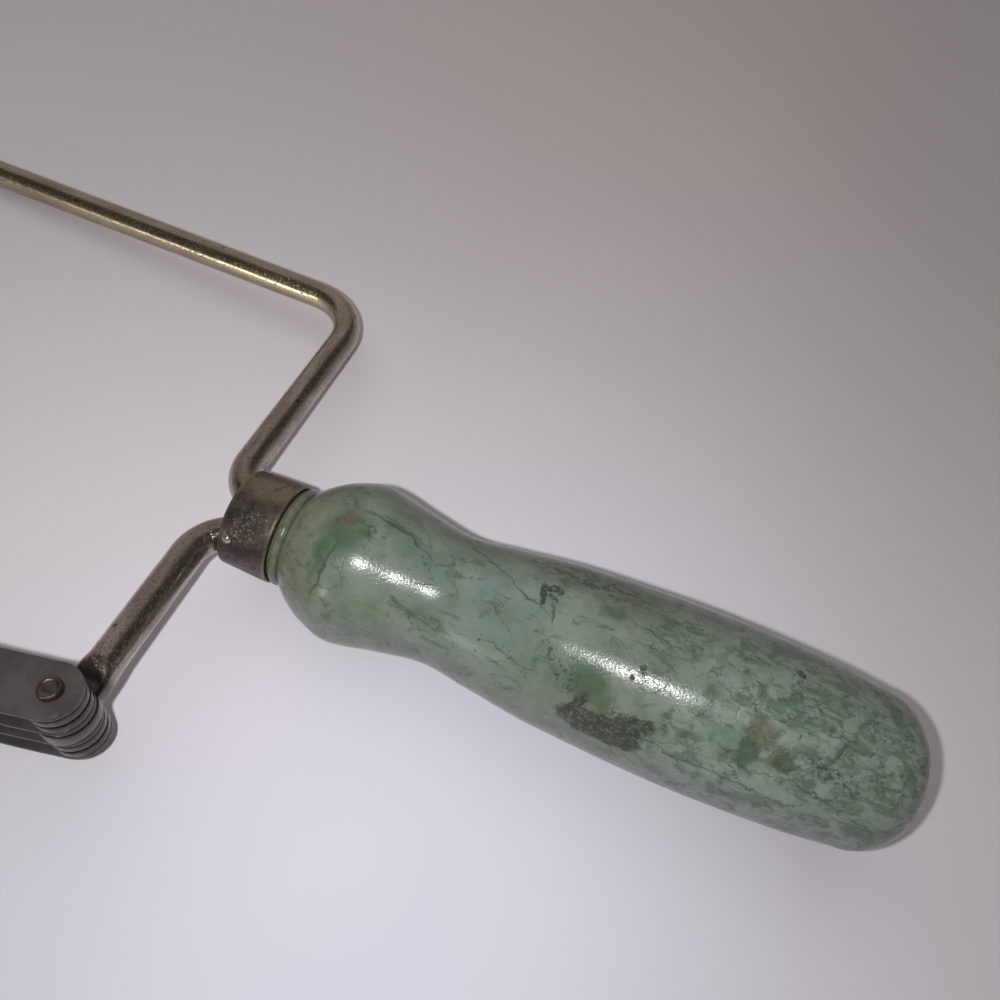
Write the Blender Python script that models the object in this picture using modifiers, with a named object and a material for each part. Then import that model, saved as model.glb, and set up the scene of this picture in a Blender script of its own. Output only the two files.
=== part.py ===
"""Hand pastry cutter: a turned wooden handle, a tapered ferrule, two round steel rods
and four parallel strip blades riveted between the rods' flattened eyes.

The tool is drawn lying flat in its own frame. +X runs from the blades to the end of the
handle, which is centred on the X axis, +Y points to the long rod, and the rods' centre
lines lie in the plane z = 0. The ferrule's front rim is at x = 0. An empty then lays the
whole tool on the table, on the handle, the far rivet and the front of the long rod.
Lengths are in metres.
"""
import math

import bmesh
import bpy
from mathutils import Matrix, Vector

CLEARANCE = 0.0003              # air between two pieces that touch on the real tool

# Rods
ROD_DIAMETER = 0.0050
TANG_DEPTH = 0.036              # length of each rod inside the handle
UPPER_REACH = 0.0044            # from the ferrule's rim forward to the long rod's outward run
LOWER_REACH = 0.0038            # and to the short rod's
YOKE_BEND_RADIUS = 0.0070       # centre line of the bends at the ferrule
ARM_OFFSET = 0.0518             # from the handle's axis to the long rod's forward run
ARM_BEND_RADIUS = 0.0100        # centre line of the long rod's two corners
EYE_DIAMETER = 0.0078
EYE_THICKNESS = 0.0029
EYE_SHOULDER = 0.0018           # length of the step from the round rod to the flat eye
EYE_NECK = 0.0009               # flat length between the step and the washers
EYE_SPREAD = 0.10               # how much wider than the round rod the neck is, as a share
EYE_SQUARENESS = 5.0            # section exponent of the flat part, where 2 is round

# Blades
BLADE_SPAN = 0.1010             # from one rivet to the other
BLADE_BOW = 0.0048              # how far the middle of a blade bows away from that line
BLADE_WIDTH = 0.0074
BLADE_THICKNESS = 0.0009
RIVET_OFFSET = 0.0359           # from the handle's axis to the rivets
BLADE_COUNT = 4

# Washers and rivets
WASHER_DIAMETER = 0.0074
WASHER_THICKNESS = 0.00155
WASHER_ROUNDING = 0.0005
WASHERS_PER_GAP = 2
RIVET_DIAMETER = 0.0022
RIVET_HEAD_DIAMETER = 0.0031
RIVET_HEAD_HEIGHT = 0.0007

# Ferrule and its brad
FERRULE_LENGTH = 0.0079
FERRULE_FRONT_DIAMETER = 0.0153
FERRULE_REAR_DIAMETER = 0.0160
FERRULE_WALL = 0.0006
BRAD_FROM_RIM = 0.0016
BRAD_ANGLE = math.radians(149.0)
BRAD_DIAMETER = 0.0009
BRAD_HEAD_DIAMETER = 0.0016
BRAD_HEAD_HEIGHT = 0.0004
BRAD_LENGTH = 0.0020
BRAD_TAPER = 0.7                # share of the pin's length before its point

# Handle, as distances from its front face and diameters there
HANDLE_LENGTH = 0.0982
BEAD_WIDTH, BEAD_DIAMETER = 0.0016, 0.0158
GROOVE_DIAMETER = 0.0152
FLARE_AT, FLARE_DIAMETER = 0.0041, 0.0196
BROW_AT, BROW_DIAMETER = 0.0070, 0.0229
SWELL_AT, SWELL_DIAMETER = 0.0114, 0.0254
NAPE_AT, NAPE_DIAMETER = 0.0190, 0.0227
WAIST_AT, WAIST_DIAMETER = 0.0263, 0.0205
GRIP_AT, GRIP_DIAMETER = 0.0336, 0.0223
PALM_AT, PALM_DIAMETER = 0.0445, 0.0250
BELLY_AT, BELLY_DIAMETER = 0.0660, 0.0268
HEEL_AT, HEEL_DIAMETER = 0.0810, 0.0259
TAIL_DIAMETER = 0.0241          # where the rounded end begins
END_ROUNDING = 0.0080
TENON_RECESS = 0.0006           # from the ferrule's front rim back to the tenon's face
MOUTH_SHIFT = 0.00072           # how far the tang holes' mouths are cut outward for the bends
MOUTH_EASE = 0.00015            # how much larger than the holes' radius they are
MOUTH_DEPTH = 0.0024            # from the ferrule's front rim
HOLE_END_ROOM = 0.0010          # empty depth past each tang

# Facets
HANDLE_SIDES = 44
HANDLE_RINGS = 36
RING_CROWDING = 1.25            # above 1, the rings crowd towards the handle's front
BEAD_STEPS = 6
TAIL_STEPS = 8
RIM_STEPS = 4
FERRULE_SIDES = 44
BRAD_SIDES = 12
WASHER_SIDES = 24
RIVET_SIDES = 24
HOLE_SIDES = 24
ROD_SIDES = 20
BLADE_ARC_STEPS = 20
ROUND_END_STEPS = 12
BEND_STEPS = 9
SHOULDER_STEPS = 5
EYE_DEGREES = (15, 30, 42, 55, 72, 90, 108, 125, 138, 150, 160, 169, 176)

# Low domes, as (share of the head's radius, share of its height)
BRAD_DOME = ((0.0, 1.0), (0.55, 0.85), (0.88, 0.5), (1.0, 0.0))
RIVET_DOME = ((0.0, 1.0), (0.45, 0.92), (0.8, 0.66), (1.0, 0.2), (1.0, 0.0))

ROD_RADIUS = ROD_DIAMETER / 2
TANG_OFFSET = ROD_RADIUS + CLEARANCE / 2
HANDLE_FRONT = FERRULE_LENGTH + CLEARANCE
NEAR_RIVET = Vector((-LOWER_REACH, -RIVET_OFFSET, 0.0))
FAR_RIVET = NEAR_RIVET - Vector((BLADE_SPAN, 0.0, 0.0))
FLAT_LENGTH = WASHER_DIAMETER / 2 + EYE_NECK
HOLE_DIAMETER = RIVET_DIAMETER + 2 * CLEARANCE
ROUND_SECTION = 2.0             # section exponent of a round rod
SETTLING_ROUNDS = 4             # rounds to find the table's plane


def clear_scene():
    for item in list(bpy.data.objects):
        bpy.data.objects.remove(item, do_unlink=True)


def new_collection(name):
    group = bpy.data.collections.new(name)
    bpy.context.scene.collection.children.link(group)
    return group


def new_material(name, colour, metallic, roughness):
    material = bpy.data.materials.new(name)
    material.use_nodes = True
    shader = material.node_tree.nodes["Principled BSDF"]
    shader.inputs["Base Color"].default_value = (*colour, 1.0)
    shader.inputs["Metallic"].default_value = metallic
    shader.inputs["Roughness"].default_value = roughness
    return material


def add_object(name, data, group, material=None):
    item = bpy.data.objects.new(name, data)
    group.objects.link(item)
    if material:
        data.materials.append(material)
    return item


def smooth(mesh, degrees=35.0):
    mesh.shade_smooth()
    mesh.set_sharp_from_angle(angle=math.radians(degrees))


def apply_modifiers(item):
    """Replace the object's mesh by the evaluated one, so its stack is empty."""
    evaluated = item.evaluated_get(bpy.context.evaluated_depsgraph_get())
    mesh = bpy.data.meshes.new_from_object(evaluated)
    mesh.name = item.name
    item.modifiers.clear()
    item.data = mesh


def turned(name, profile, sides, group, material, closed=True):
    """Turn a profile about the Z axis. The profile is (radius, height) pairs in the order
    of the outer side from top to bottom. A closed profile makes a ring, and an open one
    starts and ends on the axis."""
    mesh = bpy.data.meshes.new(name)
    build = bmesh.new()
    points = [build.verts.new((radius, 0.0, height)) for radius, height in profile]
    pairs = list(zip(points, points[1:]))
    if closed:
        pairs.append((points[-1], points[0]))
    for first, second in pairs:
        build.edges.new((first, second))
    build.to_mesh(mesh)
    build.free()
    item = add_object(name, mesh, group, material)
    screw = item.modifiers.new("Turn", "SCREW")
    screw.axis = "Z"
    screw.steps = sides
    screw.render_steps = sides
    screw.use_merge_vertices = True
    screw.merge_threshold = 0.00001
    apply_modifiers(item)
    smooth(item.data)
    return item


def corner_arc(centre, radius, start, end, steps):
    """Points of a circular arc. The angles are in degrees."""
    points = []
    for step in range(steps + 1):
        angle = math.radians(start + (end - start) * step / steps)
        points.append((centre[0] + radius * math.cos(angle), centre[1] + radius * math.sin(angle)))
    return points


def drill(item, cutters, name, radius, start, end, sides=HOLE_SIDES):
    """Cut a round hole from start to end in the object item."""
    start, end = Vector(start), Vector(end)
    mesh = bpy.data.meshes.new(name)
    build = bmesh.new()
    bmesh.ops.create_cone(build, cap_ends=True, segments=sides, radius1=radius, radius2=radius,
                          depth=(end - start).length)
    build.to_mesh(mesh)
    build.free()
    cutter = add_object(name, mesh, cutters)
    cutter.location = (start + end) / 2
    cutter.rotation_euler = (end - start).to_track_quat("Z", "Y").to_euler()
    cutter.hide_render = True
    cutter.display_type = "WIRE"
    boolean = item.modifiers.new(name, "BOOLEAN")
    boolean.operation = "DIFFERENCE"
    boolean.solver = "EXACT"
    boolean.object = cutter


def profile_radius(stations, along):
    """Radius at a distance along, on the smooth curve through the (distance, radius)
    stations. The curve is level at each largest and smallest radius."""
    slopes = [0.0] * len(stations)
    chords = []
    for (x0, r0), (x1, r1) in zip(stations, stations[1:]):
        chords.append((r1 - r0) / (x1 - x0))
    slopes[0] = chords[0]
    slopes[-1] = chords[-1]
    for index in range(1, len(stations) - 1):
        before, after = chords[index - 1], chords[index]
        if before * after > 0:
            slopes[index] = 2 * before * after / (before + after)
    for index, ((x0, r0), (x1, r1)) in enumerate(zip(stations, stations[1:])):
        if along <= x1 or index == len(stations) - 2:
            width = x1 - x0
            t = (along - x0) / width
            start = r0 * (1 + 2 * t) * (1 - t) ** 2 + slopes[index] * width * t * (1 - t) ** 2
            end = r1 * t * t * (3 - 2 * t) + slopes[index + 1] * width * t * t * (t - 1)
            return start + end


def ferrule_radius(x):
    """Outer radius of the ferrule at x."""
    share = x / FERRULE_LENGTH
    return (FERRULE_FRONT_DIAMETER + (FERRULE_REAR_DIAMETER - FERRULE_FRONT_DIAMETER) * share) / 2


def handle_outline():
    """Outline of the handle from its end to the tenon's face, as (radius, height) pairs.
    The height is minus the distance from the handle's front face."""
    stations = [
        (BEAD_WIDTH, GROOVE_DIAMETER / 2),
        (FLARE_AT, FLARE_DIAMETER / 2),
        (BROW_AT, BROW_DIAMETER / 2),
        (SWELL_AT, SWELL_DIAMETER / 2),
        (NAPE_AT, NAPE_DIAMETER / 2),
        (WAIST_AT, WAIST_DIAMETER / 2),
        (GRIP_AT, GRIP_DIAMETER / 2),
        (PALM_AT, PALM_DIAMETER / 2),
        (BELLY_AT, BELLY_DIAMETER / 2),
        (HEEL_AT, HEEL_DIAMETER / 2),
        (HANDLE_LENGTH - END_ROUNDING, TAIL_DIAMETER / 2),
    ]
    start, end = stations[0][0], stations[-1][0]
    body = []
    for step in range(HANDLE_RINGS + 1):
        along = start + (end - start) * (step / HANDLE_RINGS) ** RING_CROWDING
        body.append((profile_radius(stations, along), along))
    tail = corner_arc((HANDLE_LENGTH - END_ROUNDING, TAIL_DIAMETER / 2 - END_ROUNDING),
                      END_ROUNDING, 0.0, 90.0, TAIL_STEPS)
    tail = [(radius, along) for along, radius in reversed(tail)]
    bead = corner_arc((BEAD_WIDTH / 2, (BEAD_DIAMETER - BEAD_WIDTH) / 2), BEAD_WIDTH / 2,
                      180.0, 0.0, BEAD_STEPS)
    bead = [(radius, along) for along, radius in bead[:-1]]
    face = TENON_RECESS - HANDLE_FRONT
    tenon_rear = ferrule_radius(FERRULE_LENGTH) - FERRULE_WALL - CLEARANCE
    tenon_front = ferrule_radius(TENON_RECESS) - FERRULE_WALL - CLEARANCE
    outline = [(0.0, face), (tenon_front, face), (tenon_rear, 0.0)]
    outline += bead + body + tail[1:] + [(0.0, HANDLE_LENGTH)]
    return [(radius, -along) for radius, along in outline]


def lay_along_x(item, x):
    """Turn a shape made about Z so that its heights run back along -X, starting at x."""
    item.data.transform(Matrix.Rotation(math.radians(-90.0), 4, "Y"))
    item.data.transform(Matrix.Translation((x, 0.0, 0.0)))


def brad_line():
    """Point on the handle's axis under the brad, and the brad's outward direction."""
    direction = Vector((0.0, math.cos(BRAD_ANGLE), math.sin(BRAD_ANGLE)))
    return Vector((BRAD_FROM_RIM, 0.0, 0.0)), direction


def drill_for_brad(item, cutters, name, depth):
    """Cut the brad's hole from outside the ferrule to a depth under its surface."""
    base, direction = brad_line()
    surface = ferrule_radius(BRAD_FROM_RIM)
    drill(item, cutters, name, BRAD_DIAMETER / 2 + CLEARANCE,
          base + direction * (surface + BRAD_LENGTH), base + direction * (surface - depth), BRAD_SIDES)


def make_handle(group, cutters, material):
    item = turned("handle", handle_outline(), HANDLE_SIDES, group, material, closed=False)
    lay_along_x(item, HANDLE_FRONT)
    bottom = HANDLE_FRONT + TANG_DEPTH + HOLE_END_ROOM
    front = TENON_RECESS - ROD_DIAMETER
    for name, side in (("upper_tang", 1), ("lower_tang", -1)):
        y = side * TANG_OFFSET
        drill(item, cutters, f"{name}_hole", ROD_RADIUS + CLEARANCE, (front, y, 0.0), (bottom, y, 0.0))
        # The rods begin to bend inside the ferrule, so the mouth is a short slot.
        y = side * (TANG_OFFSET + MOUTH_SHIFT)
        drill(item, cutters, f"{name}_mouth", ROD_RADIUS + CLEARANCE + MOUTH_EASE,
              (front, y, 0.0), (MOUTH_DEPTH, y, 0.0))
    drill_for_brad(item, cutters, "brad_hole", BRAD_LENGTH + CLEARANCE)
    return item


def make_ferrule(group, cutters, material):
    """A thin tapered tube with both rims rounded over."""
    front, rear = FERRULE_FRONT_DIAMETER / 2, FERRULE_REAR_DIAMETER / 2
    half = FERRULE_WALL / 2
    # The centre of each rounded rim lies in the middle of the wall.
    rims = corner_arc((-half, front - half), half, -90.0, 90.0, RIM_STEPS)
    rims += corner_arc((half - FERRULE_LENGTH, rear - half), half, 90.0, 270.0, RIM_STEPS)
    profile = [(radius, height) for height, radius in rims]
    item = turned("ferrule", profile, FERRULE_SIDES, group, material)
    lay_along_x(item, 0.0)
    drill_for_brad(item, cutters, "ferrule_brad_hole", BRAD_LENGTH)
    return item


def make_brad(group, material):
    """A short pin with a domed head, standing on the ferrule."""
    shank, head = BRAD_DIAMETER / 2, BRAD_HEAD_DIAMETER / 2
    profile = [(head * across, BRAD_HEAD_HEIGHT * up) for across, up in BRAD_DOME]
    profile += [(shank, 0.0), (shank, -BRAD_LENGTH * BRAD_TAPER), (0.0, -BRAD_LENGTH)]
    item = turned("ferrule_brad", profile, BRAD_SIDES, group, material, closed=False)
    base, direction = brad_line()
    place = Matrix.Translation(base + direction * (ferrule_radius(BRAD_FROM_RIM) + CLEARANCE))
    item.data.transform(place @ direction.to_track_quat("Z", "X").to_matrix().to_4x4())
    return item


def bent_line(corners, radii, steps):
    """Points along a bent rod's centre line: straight runs joined by round bends."""
    corners = [Vector(corner) for corner in corners]
    points = [corners[0]]
    for before, corner, after, radius in zip(corners, corners[1:], corners[2:], radii):
        into = (corner - before).normalized()
        out = (after - corner).normalized()
        turn = into.angle(out)
        reach = radius * math.tan(turn / 2)
        side = (out - into * into.dot(out)).normalized()
        centre = corner - into * reach + side * radius
        for step in range(steps + 1):
            angle = turn * step / steps
            points.append(centre + radius * (math.sin(angle) * into - math.cos(angle) * side))
    points.append(corners[-1])
    return points


def eye_section(distance):
    """Half width, half thickness and squareness of the rod at a distance short of the
    rivet's centre, negative past it. The forged eye is a disc that the rod runs into."""
    eye = EYE_DIAMETER / 2
    disc = math.sqrt(max(eye * eye - distance * distance, 0.0))
    if distance <= 0:
        half_width = disc
    else:
        # The forging spreads the rod gently from the end of the step to the disc.
        share = 1.0 - distance / (FLAT_LENGTH + EYE_SHOULDER)
        half_width = max(disc, ROD_RADIUS * (1.0 + EYE_SPREAD * share))
    step = min(max((distance - FLAT_LENGTH) / EYE_SHOULDER, 0.0), 1.0)
    ease = step * step * (3 - 2 * step)
    half_thickness = EYE_THICKNESS / 2 + (ROD_RADIUS - EYE_THICKNESS / 2) * ease
    squareness = EYE_SQUARENESS + (ROUND_SECTION - EYE_SQUARENESS) * ease
    return half_width, half_thickness, squareness


def make_rod(name, corners, radii, group, cutters, material):
    """Sweep the rod's section along its bent centre line, from the tang to the forged
    eye. The sections change from round to flat, so the skin is lofted ring by ring."""
    route = bent_line(corners, radii, BEND_STEPS)
    rivet = route[-1]
    into_eye = (route[-1] - route[-2]).normalized()
    distances = []
    for step in range(SHOULDER_STEPS, -1, -1):
        distances.append(FLAT_LENGTH + EYE_SHOULDER * step / SHOULDER_STEPS)
    for degrees in EYE_DEGREES:
        distances.append(EYE_DIAMETER / 2 * math.cos(math.radians(degrees)))
    rings = [(point, None) for point in route[:-1]]
    rings += [(rivet - into_eye * distance, distance) for distance in distances]
    mesh = bpy.data.meshes.new(name)
    build = bmesh.new()
    loops = []
    for index, (point, distance) in enumerate(rings):
        before = rings[max(index - 1, 0)][0]
        after = rings[min(index + 1, len(rings) - 1)][0]
        forward = (after - before).normalized()
        across = Vector((0.0, 0.0, 1.0)).cross(forward)
        if distance is None:
            half_width, half_thickness, squareness = ROD_RADIUS, ROD_RADIUS, ROUND_SECTION
        else:
            half_width, half_thickness, squareness = eye_section(distance)
        loop = []
        for side in range(ROD_SIDES):
            angle = 2 * math.pi * side / ROD_SIDES
            c, s = math.cos(angle), math.sin(angle)
            wide = math.copysign(abs(c) ** (2 / squareness), c) * half_width
            high = math.copysign(abs(s) ** (2 / squareness), s) * half_thickness
            loop.append(build.verts.new(point + across * wide + Vector((0.0, 0.0, high))))
        loops.append(loop)
    for first, second in zip(loops, loops[1:]):
        for side in range(ROD_SIDES):
            after = (side + 1) % ROD_SIDES
            build.faces.new((first[side], first[after], second[after], second[side]))
    build.faces.new(loops[0][::-1])
    build.faces.new(loops[-1])
    bmesh.ops.recalc_face_normals(build, faces=build.faces)
    build.to_mesh(mesh)
    build.free()
    item = add_object(name, mesh, group, material)
    lift = Vector((0.0, 0.0, ROD_DIAMETER))
    drill(item, cutters, f"{name}_rivet_hole", HOLE_DIAMETER / 2, rivet - lift, rivet + lift)
    return item


def stack_levels():
    """Heights of the upper blades' and washers' middles above the rods' plane, from the
    eye outwards, and the height of the stack's top."""
    blades, washers = [], []
    height = EYE_THICKNESS / 2
    for _ in range(BLADE_COUNT // 2):
        if blades:
            for _ in range(WASHERS_PER_GAP):
                height += CLEARANCE
                washers.append(height + WASHER_THICKNESS / 2)
                height += WASHER_THICKNESS
        height += CLEARANCE
        blades.append(height + BLADE_THICKNESS / 2)
        height += BLADE_THICKNESS
    return blades, washers, height


def blade_outline():
    """The strip's outline in its own plane: two arcs and two round ends."""
    half_span = BLADE_SPAN / 2
    radius = (half_span ** 2 + BLADE_BOW ** 2) / (2 * BLADE_BOW)
    opening = math.degrees(math.asin(half_span / radius))
    middle = (NEAR_RIVET + FAR_RIVET) / 2
    centre = (middle.x, middle.y - BLADE_BOW + radius)
    half = BLADE_WIDTH / 2
    near, far = 270.0 + opening, 270.0 - opening
    points = corner_arc(centre, radius + half, far, near, BLADE_ARC_STEPS)
    points += corner_arc(NEAR_RIVET, half, near, near + 180.0, ROUND_END_STEPS)[1:-1]
    points += corner_arc(centre, radius - half, near, far, BLADE_ARC_STEPS)
    points += corner_arc(FAR_RIVET, half, far - 180.0, far, ROUND_END_STEPS)[1:-1]
    return points


def add_loop(curve, points):
    spline = curve.splines.new("POLY")
    spline.points.add(len(points) - 1)
    for target, (x, y) in zip(spline.points, points):
        target.co = (x, y, 0.0, 1.0)
    spline.use_cyclic_u = True


def make_blade(name, height, group, material):
    curve = bpy.data.curves.new(name, "CURVE")
    curve.dimensions = "2D"
    curve.fill_mode = "BOTH"
    curve.extrude = BLADE_THICKNESS / 2
    add_loop(curve, blade_outline())
    for rivet in (NEAR_RIVET, FAR_RIVET):
        hole = corner_arc(rivet, HOLE_DIAMETER / 2, 0.0, 360.0, HOLE_SIDES)
        add_loop(curve, hole[:-1])
    item = add_object(name, curve, group, material)
    item.location.z = height
    return item


def make_washer(name, rivet, height, group, material):
    half, outer = WASHER_THICKNESS / 2, WASHER_DIAMETER / 2
    inner = HOLE_DIAMETER / 2
    ease = WASHER_ROUNDING
    profile = [(inner, half)]
    profile += corner_arc((outer - ease, half - ease), ease, 90.0, 0.0, 2)
    profile += corner_arc((outer - ease, ease - half), ease, 0.0, -90.0, 2)
    profile += [(inner, -half)]
    item = turned(name, profile, WASHER_SIDES, group, material)
    item.location = rivet + Vector((0.0, 0.0, height))
    return item


def make_rivet(name, rivet, stack, group, material):
    """A solid rivet with the same low dome on both sides of the stack."""
    seat = stack + CLEARANCE
    shank, head = RIVET_DIAMETER / 2, RIVET_HEAD_DIAMETER / 2
    dome = [(head * across, seat + RIVET_HEAD_HEIGHT * up) for across, up in RIVET_DOME]
    profile = dome + [(shank, seat), (shank, -seat)]
    profile += [(radius, -height) for radius, height in reversed(dome)]
    item = turned(name, profile, RIVET_SIDES, group, material, closed=False)
    item.location = rivet
    return item


def lowest_on_handle(up):
    """The point of the handle that hangs lowest."""
    sideways = Vector((0.0, up.y, up.z)).normalized()
    points = []
    for radius, height in handle_outline():
        points.append(Vector((HANDLE_FRONT - height, 0.0, 0.0)) - sideways * radius)
    return min(points, key=up.dot)


def lowest_on_corner(up):
    """The lowest point of the long rod's front corner."""
    centre = Vector((FAR_RIVET.x + ARM_BEND_RADIUS, ARM_OFFSET - ARM_BEND_RADIUS, 0.0))
    outward = -Vector((up.x, up.y, 0.0)).normalized()
    return centre + outward * ARM_BEND_RADIUS - up * ROD_RADIUS


def table_normal(stack):
    """The table's upward direction in the tool's own frame. The tool rests on the handle,
    on the far rivet's lower head and on the long rod's front corner. The lowest points
    move a little as the tool tips, so the plane is found again until it settles."""
    up = Vector((0.0, 0.0, 1.0))
    for _ in range(SETTLING_ROUNDS):
        head = FAR_RIVET - up * (stack + CLEARANCE + RIVET_HEAD_HEIGHT)
        handle, corner = lowest_on_handle(up), lowest_on_corner(up)
        up = (head - handle).cross(corner - handle).normalized()
        if up.z < 0:
            up.negate()
    return up


def lay_on_table(parts, cutters, stack):
    """Tip the tool onto the table and put the bottom centre of its box at the origin."""
    pose = bpy.data.objects.new("lying_pose", None)
    bpy.context.scene.collection.objects.link(pose)
    for item in [*parts.objects, *cutters.objects]:
        item.parent = pose
    pose.rotation_mode = "QUATERNION"
    pose.rotation_quaternion = table_normal(stack).rotation_difference(Vector((0.0, 0.0, 1.0)))
    graph = bpy.context.evaluated_depsgraph_get()
    graph.update()
    low = Vector((math.inf,) * 3)
    high = -low
    for item in parts.objects:
        mesh = bpy.data.meshes.new_from_object(item.evaluated_get(graph))
        place = item.evaluated_get(graph).matrix_world
        for vertex in mesh.vertices:
            corner = place @ vertex.co
            low = Vector(map(min, low, corner))
            high = Vector(map(max, high, corner))
        bpy.data.meshes.remove(mesh)
    pose.location = (-(low.x + high.x) / 2, -(low.y + high.y) / 2, -low.z)
    bpy.context.view_layer.update()


def main():
    clear_scene()
    parts = new_collection("pastry_cutter")
    cutters = new_collection("cutters")
    paint = new_material("worn_green_paint", (0.26, 0.36, 0.28), 0.0, 0.35)
    nickel = new_material("tarnished_nickel", (0.38, 0.34, 0.29), 1.0, 0.3)
    dull = new_material("dull_ferrule_plate", (0.24, 0.21, 0.19), 1.0, 0.42)
    steel = new_material("grey_blade_steel", (0.13, 0.13, 0.14), 0.9, 0.45)
    spacer = new_material("browned_washer_steel", (0.22, 0.17, 0.15), 1.0, 0.3)
    rivet = new_material("bronzed_rivet", (0.24, 0.20, 0.16), 1.0, 0.35)
    brass = new_material("brass_brad", (0.62, 0.48, 0.24), 1.0, 0.3)

    make_handle(parts, cutters, paint)
    make_ferrule(parts, cutters, dull)
    make_brad(parts, brass)

    tang_end = HANDLE_FRONT + TANG_DEPTH
    make_rod("upper_rod",
             [(tang_end, TANG_OFFSET, 0.0), (-UPPER_REACH, TANG_OFFSET, 0.0),
              (-UPPER_REACH, ARM_OFFSET, 0.0),
              (FAR_RIVET.x, ARM_OFFSET, 0.0), FAR_RIVET],
             [YOKE_BEND_RADIUS, ARM_BEND_RADIUS, ARM_BEND_RADIUS], parts, cutters, nickel)
    make_rod("lower_rod",
             [(tang_end, -TANG_OFFSET, 0.0), (-LOWER_REACH, -TANG_OFFSET, 0.0), NEAR_RIVET],
             [YOKE_BEND_RADIUS], parts, cutters, nickel)

    blades, washers, stack = stack_levels()
    heights = sorted(blades + [-height for height in blades], reverse=True)
    for number, height in enumerate(heights, start=1):
        make_blade(f"blade_{number}", height, parts, steel)
    heights = sorted(washers + [-height for height in washers], reverse=True)
    for end, centre in (("near", NEAR_RIVET), ("far", FAR_RIVET)):
        for number, height in enumerate(heights, start=1):
            make_washer(f"{end}_washer_{number}", centre, height, parts, spacer)
        make_rivet(f"{end}_rivet", centre, stack, parts, rivet)

    lay_on_table(parts, cutters, stack)


main()
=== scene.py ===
# %% [markdown]
# # A worn pastry cutter on a table
# This lesson dresses the solid model of an old hand pastry cutter. The solids give every
# size and place. Here each piece is made again with finer steps, softened edges and the
# worn finish of the real tool. The first cell loads the solids as a fixed frame.

# %% Load the frame
import math

import bmesh
import bpy
from mathutils import Matrix, Quaternion, Vector


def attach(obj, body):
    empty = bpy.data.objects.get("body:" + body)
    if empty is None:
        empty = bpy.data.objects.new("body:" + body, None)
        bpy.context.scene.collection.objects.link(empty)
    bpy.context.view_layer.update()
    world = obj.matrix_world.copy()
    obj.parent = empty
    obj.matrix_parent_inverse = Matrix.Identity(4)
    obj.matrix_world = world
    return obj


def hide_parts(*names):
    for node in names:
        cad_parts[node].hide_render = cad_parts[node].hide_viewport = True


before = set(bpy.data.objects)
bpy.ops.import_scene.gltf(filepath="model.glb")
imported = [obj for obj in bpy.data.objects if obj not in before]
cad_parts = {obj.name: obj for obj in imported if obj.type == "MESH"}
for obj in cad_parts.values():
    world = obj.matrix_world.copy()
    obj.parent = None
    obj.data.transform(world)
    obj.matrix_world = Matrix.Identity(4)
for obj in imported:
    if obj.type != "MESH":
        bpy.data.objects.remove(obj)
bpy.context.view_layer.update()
MM = 1000.0


def in_mm(lengths):
    """Lengths in metres, rounded to a tenth of a millimetre for printing."""
    return [round(MM * length, 1) for length in lengths]


# %% [markdown]
# ## The tool's own frame
# A turned handle is easiest to draw about a straight axis, but the tool lies tipped on the
# table. So each piece is drawn flat, in the tool's own frame, and then laid down by one
# matrix. In that frame +X runs to the handle's end, +Y to the long rod, and the rods lie in
# the plane z = 0. The ferrule's front rim is at x = 0. All lengths are in metres.

# %% The lying pose
TIP = Quaternion((0.998959, -0.036604, -0.02721, 0.0)).normalized()
DROP = Vector((0.0011748, -0.0045922, 0.0116097))
LYING = Matrix.Translation(DROP) @ TIP.to_matrix().to_4x4()
print("tipped by", round(math.degrees(TIP.angle), 2), "degrees")

# %% [markdown]
# ## The camera
# The camera comes before the materials, because every later choice is judged in its picture.
# Its place and lens were fitted to the rods' edges and the handle's outline: a phone's wide
# lens, only about 12 cm from the tool. A matrix built from the three view directions sets it
# with no tracking constraint.


# %% Place the camera
def add_object(name, data):
    """A new object in the scene, made of the given data."""
    thing = bpy.data.objects.new(name, data)
    bpy.context.scene.collection.objects.link(thing)
    return thing


RIGHT = Vector((0.918051, 0.346566, 0.192547))
UP = Vector((-0.395523, 0.767184, 0.504966))
LOOK = Vector((-0.027285, 0.539741, -0.841389))
LENS_PLACE = (0.040041, -0.053922, 0.121962)
lens = bpy.data.cameras.new("camera")
lens.lens = 27.9
lens.sensor_width = 36.0
lens.clip_start = 0.005
camera = add_object("camera", lens)
turn = Matrix((RIGHT, UP, -LOOK)).transposed().to_4x4()
camera.matrix_world = Matrix.Translation(LENS_PLACE) @ turn
bpy.context.scene.camera = camera
print("camera's place in mm:", in_mm(LENS_PLACE))

# %% [markdown]
# ## Helpers for node trees
# Shader trees and Geometry Nodes trees are built the same way, so the same helpers serve
# both. The first adds a node, changes its settings, and fills or links its inputs. The
# others write one kind of sum each in a single line and hand back its result.


# %% Helpers for nodes
def put(tree, kind, inputs=None, **settings):
    """Add a node. An input given as a socket is linked, and any other value is typed in."""
    node = tree.nodes.new(kind)
    for name, value in settings.items():
        setattr(node, name, value)
    for name, value in (inputs or {}).items():
        if isinstance(value, bpy.types.NodeSocket):
            tree.links.new(value, node.inputs[name])
        else:
            node.inputs[name].default_value = value
    return node


def calc(tree, operation, *values):
    """The result of a Math node on the given values."""
    return put(tree, "ShaderNodeMath", dict(enumerate(values)), operation=operation).outputs[0]


def product(tree, first, *others):
    """The values multiplied together."""
    for other in others:
        first = calc(tree, "MULTIPLY", first, other)
    return first


def total(tree, first, *others):
    """The values added up."""
    for other in others:
        first = calc(tree, "ADD", first, other)
    return first


def distance_from(tree, value, centre):
    """How far a value is from a centre, on either side."""
    return calc(tree, "ABSOLUTE", calc(tree, "SUBTRACT", value, centre))


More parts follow.
